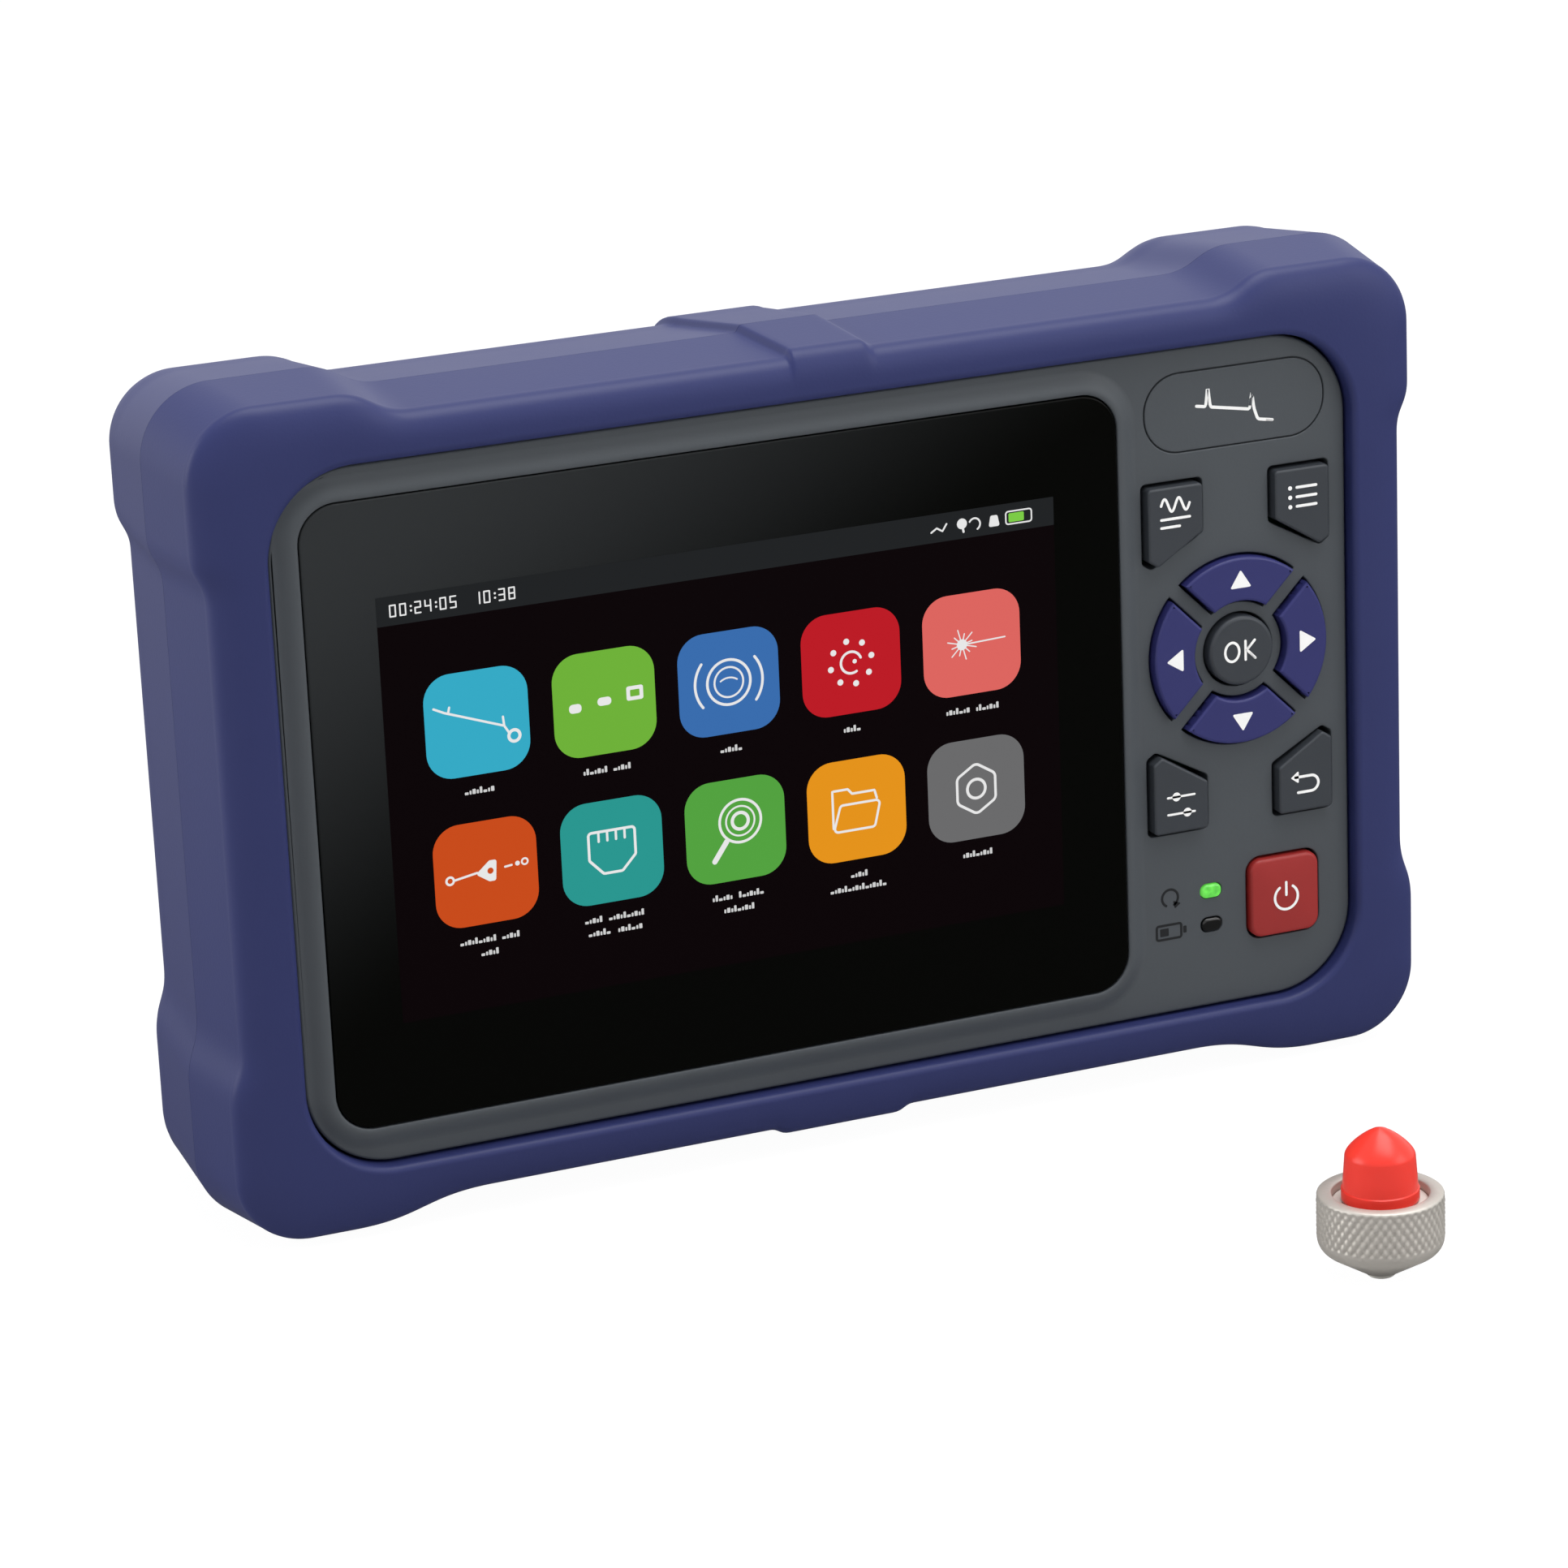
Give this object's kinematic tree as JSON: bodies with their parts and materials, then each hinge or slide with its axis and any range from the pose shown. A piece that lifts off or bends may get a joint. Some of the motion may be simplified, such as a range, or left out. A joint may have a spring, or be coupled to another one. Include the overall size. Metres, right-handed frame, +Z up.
{
  "type": "optical time domain reflectometer",
  "caption": "Handheld fibre tester: bumper-cornered case with touch screen, keypad, capped side ports, fold-out stand, and a spare port adapter with dust cap.",
  "frame": {"origin": "on the floor under the middle of the instrument's case, midway across its width and thickness", "axes": "+X to the right seen from the front, +Y from the screen to the back, +Z up; the screen faces -Y"},
  "size_m": [0.1738, 0.1181, 0.112],
  "materials": {
    "shell_blue": "soft matte moulding",
    "panel_grey": "fine satin moulding",
    "screen_glass": "black-backed touch glass, glossy",
    "display": "display panel behind the glass",
    "gasket": "foam adhesive frame",
    "key_grey": "satin moulded key",
    "key_indigo": "satin moulded key",
    "key_red": "satin moulded key",
    "lamp_green": "clear light pipe, lit green",
    "lamp_dark": "clear light pipe, unlit",
    "board_green": "circuit board",
    "can_metal": "tinned shield",
    "optics_metal": "machined module housing",
    "spool_white": "moulded spool",
    "fibre_yellow": "coated fibre",
    "battery_wrap": "heat-shrink wrap",
    "stand_plastic": "moulded stand",
    "port_nickel": "nickel plated brass",
    "socket_metal": "plated socket",
    "cap_black": "soft dust cap",
    "flap_blue": "soft flap",
    "adapter_metal": "knurled nickel finish",
    "core_metal": "turned metal",
    "cap_red": "soft red dust cap"
  },
  "bodies": {
    "case": {"front_shell": "shell_blue", "rear_shell": "shell_blue", "front_panel": "panel_grey", "label_plate": "panel_grey", "touch_glass": "screen_glass", "glass_gasket": "gasket", "lcd_module": "display", "lamp_upper": "lamp_green", "lamp_lower": "lamp_dark", "keypad_board": "board_green", "main_board": "board_green", "shield_can": "can_metal", "optical_module": "optics_metal", "fibre_spool": "spool_white", "fibre_coil": "fibre_yellow", "test_port": "port_nickel", "meter_port": "port_nickel", "fault_light_port": "port_nickel", "usb_socket": "socket_metal", "charge_socket": "socket_metal", "battery_pack": "battery_wrap"},
    "key_upper_left_body": {"key_upper_left": "key_grey"},
    "key_upper_right_body": {"key_upper_right": "key_grey"},
    "key_lower_left_body": {"key_lower_left": "key_grey"},
    "key_lower_right_body": {"key_lower_right": "key_grey"},
    "key_up_body": {"key_up": "key_indigo"},
    "key_down_body": {"key_down": "key_indigo"},
    "key_left_body": {"key_left": "key_indigo"},
    "key_right_body": {"key_right": "key_indigo"},
    "key_ok_body": {"key_ok": "key_grey"},
    "key_power_body": {"key_power": "key_red"},
    "stand_body": {"stand": "stand_plastic"},
    "battery_cover_body": {"battery_cover": "stand_plastic"},
    "test_cap_body": {"test_cap": "cap_black"},
    "meter_cap_body": {"meter_cap": "cap_black"},
    "fault_light_cap_body": {"fault_light_cap": "cap_black"},
    "flap_body": {"socket_flap": "flap_blue"},
    "adapter_body": {"adapter_ring": "adapter_metal", "adapter_core": "core_metal"},
    "spare_cap_body": {"spare_cap": "cap_red"}
  },
  "joints": [
    {"name": "key_upper_left_press", "type": "slide", "parent": "case", "child": "key_upper_left_body", "axis": [0, 1, 0], "range_m": [0, 0.0008], "stiffness_N_per_m": 400, "springref_m": -0.0002},
    {"name": "key_upper_right_press", "type": "slide", "parent": "case", "child": "key_upper_right_body", "axis": [0, 1, 0], "range_m": [0, 0.0008], "stiffness_N_per_m": 400, "springref_m": -0.0002},
    {"name": "key_lower_left_press", "type": "slide", "parent": "case", "child": "key_lower_left_body", "axis": [0, 1, 0], "range_m": [0, 0.0008], "stiffness_N_per_m": 400, "springref_m": -0.0002},
    {"name": "key_lower_right_press", "type": "slide", "parent": "case", "child": "key_lower_right_body", "axis": [0, 1, 0], "range_m": [0, 0.0008], "stiffness_N_per_m": 400, "springref_m": -0.0002},
    {"name": "key_up_press", "type": "slide", "parent": "case", "child": "key_up_body", "axis": [0, 1, 0], "range_m": [0, 0.0008], "stiffness_N_per_m": 400, "springref_m": -0.0002},
    {"name": "key_down_press", "type": "slide", "parent": "case", "child": "key_down_body", "axis": [0, 1, 0], "range_m": [0, 0.0008], "stiffness_N_per_m": 400, "springref_m": -0.0002},
    {"name": "key_left_press", "type": "slide", "parent": "case", "child": "key_left_body", "axis": [0, 1, 0], "range_m": [0, 0.0008], "stiffness_N_per_m": 400, "springref_m": -0.0002},
    {"name": "key_right_press", "type": "slide", "parent": "case", "child": "key_right_body", "axis": [0, 1, 0], "range_m": [0, 0.0008], "stiffness_N_per_m": 400, "springref_m": -0.0002},
    {"name": "key_ok_press", "type": "slide", "parent": "case", "child": "key_ok_body", "axis": [0, 1, 0], "range_m": [0, 0.0008], "stiffness_N_per_m": 400, "springref_m": -0.0002},
    {"name": "key_power_press", "type": "slide", "parent": "case", "child": "key_power_body", "axis": [0, 1, 0], "range_m": [0, 0.0008], "stiffness_N_per_m": 400, "springref_m": -0.0002},
    {"name": "stand_hinge", "type": "hinge", "parent": "case", "child": "stand_body", "pos_m": [0, 0.0175, 0.084], "axis": [1, 0, 0], "range_deg": [0, 55]},
    {"name": "battery_cover_lift", "type": "slide", "parent": "case", "child": "battery_cover_body", "axis": [0, 1, 0], "range_m": [0, 0.03]},
    {"name": "test_cap_pull", "type": "slide", "parent": "case", "child": "test_cap_body", "axis": [1, 0, 0], "range_m": [0, 0.012]},
    {"name": "meter_cap_pull", "type": "slide", "parent": "case", "child": "meter_cap_body", "axis": [1, 0, 0], "range_m": [0, 0.012]},
    {"name": "fault_light_cap_pull", "type": "slide", "parent": "case", "child": "fault_light_cap_body", "axis": [1, 0, 0], "range_m": [0, 0.012]},
    {"name": "flap_hinge", "type": "hinge", "parent": "case", "child": "flap_body", "pos_m": [0.08393, -0.00175, 0.03875], "axis": [0, 0, 1], "range_deg": [-95, 0], "stiffness_Nm_per_rad": 0.002},
    {"name": "adapter_lift", "type": "slide", "parent": "case", "child": "adapter_body", "axis": [0, 0, 1], "range_m": [0, 0.03]},
    {"name": "spare_cap_pull", "type": "slide", "parent": "adapter_body", "child": "spare_cap_body", "axis": [0, 0, 1], "range_m": [0, 0.012]}
  ]
}
